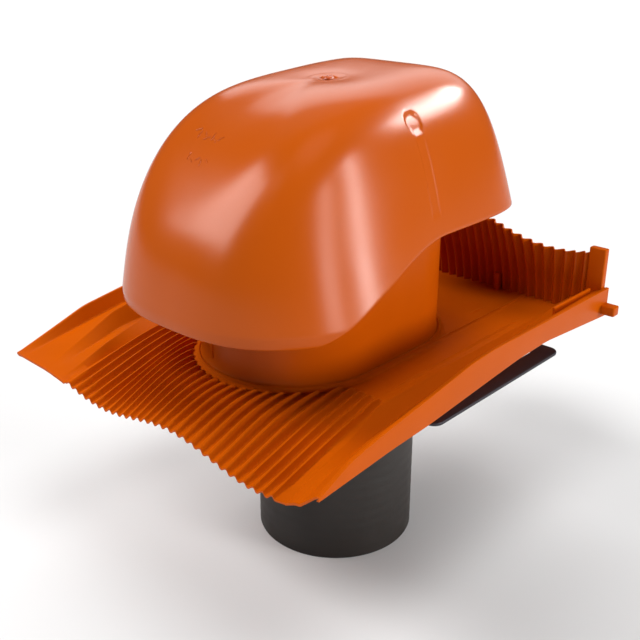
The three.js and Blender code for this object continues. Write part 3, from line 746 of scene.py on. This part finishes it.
addPiece("ductCollar", [makeCollar(), makeSeam()] + makeBridge(), basePlastic,
         ["duct_collar"], 42)


# ---- Pipe and flange plate

# bead: the ring of radius and height points that stands out below the pan.
pipe = {"radius": 62.5, "wall": 3.0, "top": 172.0, "rounding": 0.8, "bandPitch": 9.0, "band": 0.10,
        "bandLow": 1.5, "bandHigh": 158.5, "bandRows": 150,
        "bead": [(62.5, 159.5), (64.6, 160.6), (65.3, 161.5), (65.3, 164.3), (64.9, 164.8), (62.6, 164.9),
                 (62.5, 165)]}


def makePipe():
    # Faint even bands run round the outside, a tenth of a millimetre deep, as the tool left them.
    outer, inner, e, top = pipe["radius"], pipe["radius"] - pipe["wall"], pipe["rounding"], pipe["top"]
    heights = np.linspace(pipe["bandLow"], pipe["bandHigh"], pipe["bandRows"])
    band = outer - pipe["band"] * (0.5 - 0.5 * np.cos(heights / pipe["bandPitch"] * 2 * math.pi))
    profile = [(inner, 0.7), (inner + 0.3, 0.15), (inner + 0.8, 0), (outer - e, 0), (outer - 0.25, 0.25),
               (outer, e)]
    profile += list(zip(band, heights)) + pipe["bead"]
    profile += [(outer, top - 0.6), (outer - 0.5, top), (inner + 0.5, top), (inner, top - 0.6), (inner, 90),
                (inner, 0.7)]
    return latheBody(profile, 160)


pipePiece = addPiece("ventPipe", [makePipe()], pipePlastic, ["pipe"], 35)

plate = {"left": -117.4, "right": 144.4, "front": -46.0, "back": 117.0, "low": 150.0, "high": 152.5,
         "corner": 8.0, "edge": 0.5,
         "slotFront": -6.0, "slotBack": 102.0, "slotWidth": 9.0, "slotInset": 14.9,
         "hub": [(0, 151), (68.0, 151), (68.0, 152.6), (67.0, 153.4), (66.6, 154.4), (66.4, 158.8),
                 (66.0, 159.2), (0, 159.2)]}


def makePlate():
    # A rounded rectangle with eased edges and a hub round the pipe above it. The bore and the two
    # slots are cut from well below the plate to well above it.
    loop = roundedLoop(plate["left"], plate["right"], plate["front"], plate["back"], plate["corner"], 10)
    corners = ((plate["left"], plate["front"], plate["low"]), (plate["right"], plate["back"], plate["high"]))
    sheet = looseObject("flangePlate", [easedSlab(loop, *corners, plate["edge"])])
    combine(sheet, looseObject("hub", [latheBody(plate["hub"], 128)]), "UNION")
    below, above = plate["low"] - 10, plate["high"] + 12.5
    combine(sheet, boreCutter(below, above), "DIFFERENCE")
    for x in (plate["right"] - plate["slotInset"] - plate["slotWidth"], plate["left"] + plate["slotInset"]):
        farCorner = (x + plate["slotWidth"], plate["slotBack"], above)
        slot = blockBody((x, plate["slotFront"], below), farCorner, 1.0)
        combine(sheet, looseObject("slot", [slot]), "DIFFERENCE")
    return sheet


platePiece = makePlate()
finishPiece(platePiece, platePlastic, ["flange_plate"], 30)
print("pieces made")


# ---- Floor, lights and camera

def direction(place):
    # Azimuth is measured from the front towards the right, and elevation up from the floor.
    a, e = math.radians(place["azimuth"]), math.radians(place["elevation"])
    return Vector((math.sin(a) * math.cos(e), -math.cos(a) * math.cos(e), math.sin(e)))


def addLamp(name, kind, place):
    # A lamp whose light comes from the given direction.
    lamp = bpy.data.objects.new(name, bpy.data.lights.new(name, kind))
    lamp.rotation_euler = direction(place).to_track_quat("Z", "Y").to_euler()
    bpy.context.scene.collection.objects.link(lamp)
    return lamp


def cameraMix(tree, others, camera):
    # The second shader shows to the camera's own rays and the first one to all others.
    seen = addNode(tree, "ShaderNodeLightPath")
    return addNode(tree, "ShaderNodeMixShader", {},
                   {0: (seen, "Is Camera Ray"), 1: (others, 0), 2: (camera, 0)})


studio = {"floor": "#D0D0D0", "floorHalf": 8.0, "floorDrop": 0.0003, "glow": 0.13,
          "world": 0.05, "backdrop": 1.0}
bpy.context.scene.view_settings.view_transform = "Standard"
half, drop = studio["floorHalf"], -studio["floorDrop"]
floor = bpy.data.objects.new("floor", bpy.data.meshes.new("floor"))
floor.data.from_pydata([(-half, -half, drop), (half, -half, drop), (half, half, drop), (-half, half, drop)],
                       [], [(0, 1, 2, 3)])
# White paper: plain and dull. It glows a little to the camera so that the shadows on it stay soft.
paint = bpy.data.materials.new("whitePaperFloor")
tree = emptyTree(paint)
paper = addNode(tree, "ShaderNodeBsdfDiffuse", {"Color": linear(studio["floor"])})
glow = addNode(tree, "ShaderNodeEmission", {"Strength": studio["glow"]})
glowing = addNode(tree, "ShaderNodeAddShader", {}, {0: (paper, 0), 1: (glow, 0)})
addNode(tree, "ShaderNodeOutputMaterial", {}, {"Surface": (cameraMix(tree, paper, glowing), 0)})
floor.data.materials.append(paint)
bpy.context.scene.collection.objects.link(floor)

# The backdrop is white to the camera and dimmer as a light, so that the gloss stays dark round it.
world = bpy.data.worlds.new("studio")
tree = emptyTree(world)
white = (1, 1, 1, 1)
lit = addNode(tree, "ShaderNodeBackground", {"Color": white, "Strength": studio["world"]})
shown = addNode(tree, "ShaderNodeBackground", {"Color": white, "Strength": studio["backdrop"]})
addNode(tree, "ShaderNodeOutputWorld", {}, {"Surface": (cameraMix(tree, lit, shown), 0)})
bpy.context.scene.world = world

# Soft boxes that only the gloss shows. Angles are in degrees, sizes and distances in metres and
# power in watts. They face a point at the height of target above the origin.
softBoxes = {
    "keyBox": {"azimuth": -30, "elevation": 37, "distance": 1.5, "width": 0.95, "height": 1.0, "power": 31},
    "sideStrip": {"azimuth": 109, "elevation": 5, "distance": 1.5, "width": 0.17, "height": 2.0, "power": 30},
    "softStrip": {"azimuth": 88, "elevation": 14, "distance": 1.5, "width": 0.26, "height": 1.1, "power": 9},
    "backBox": {"azimuth": 160, "elevation": 36, "distance": 1.6, "width": 0.8, "height": 0.3, "power": 24},
    "backWall": {"azimuth": -148, "elevation": 34, "distance": 1.6, "width": 1.6, "height": 0.8, "power": 7},
}
target = Vector((0, 0, 0.24))
# They show on the hood, the screw, the pipe and the plate. The ribbed base has a duller gloss.
glossyParts = bpy.data.collections.new("glossyParts")
for piece in (hoodPiece, screwPiece, pipePiece, platePiece):
    glossyParts.objects.link(piece)
for name, box in softBoxes.items():
    lamp = addLamp(name, "AREA", box)
    light = lamp.data
    light.shape, light.energy = "RECTANGLE", box["power"]
    light.size, light.size_y = box["width"], box["height"]
    lamp.location = target + direction(box) * box["distance"]
    lamp.visible_diffuse = False
    lamp.light_linking.receiver_collection = glossyParts

# Wide far lights that the gloss doesn't show. They keep the floor as bright at the back as in front.
farLights = {
    "leftSky": {"azimuth": -50, "elevation": 40, "angle": 16, "strength": 1.9},
    "frontSky": {"azimuth": 10, "elevation": 55, "angle": 20, "strength": 0.8},
    "sideSky": {"azimuth": 112, "elevation": 6, "angle": 24, "strength": 2.8},
    "rearSky": {"azimuth": -130, "elevation": 50, "angle": 40, "strength": 1.4},
    "topSky": {"azimuth": 90, "elevation": 74, "angle": 30, "strength": 1.1},
}
for name, sky in farLights.items():
    lamp = addLamp(name, "SUN", sky)
    lamp.data.energy, lamp.data.angle = sky["strength"], math.radians(sky["angle"])
    lamp.visible_glossy = False

view = {"azimuth": 42.5, "elevation": 22.85, "place": (0.4604, -0.5043, 0.4607), "lens": 53.44}
camera = bpy.data.objects.new("camera", bpy.data.cameras.new("camera"))
camera.rotation_euler = direction(view).to_track_quat("Z", "Y").to_euler()
camera.location = view["place"]
camera.data.lens, camera.data.sensor_width = view["lens"], 36.0
camera.data.clip_start, camera.data.clip_end = 0.02, 30
bpy.context.scene.collection.objects.link(camera)
bpy.context.scene.camera = camera

print("scene ready")
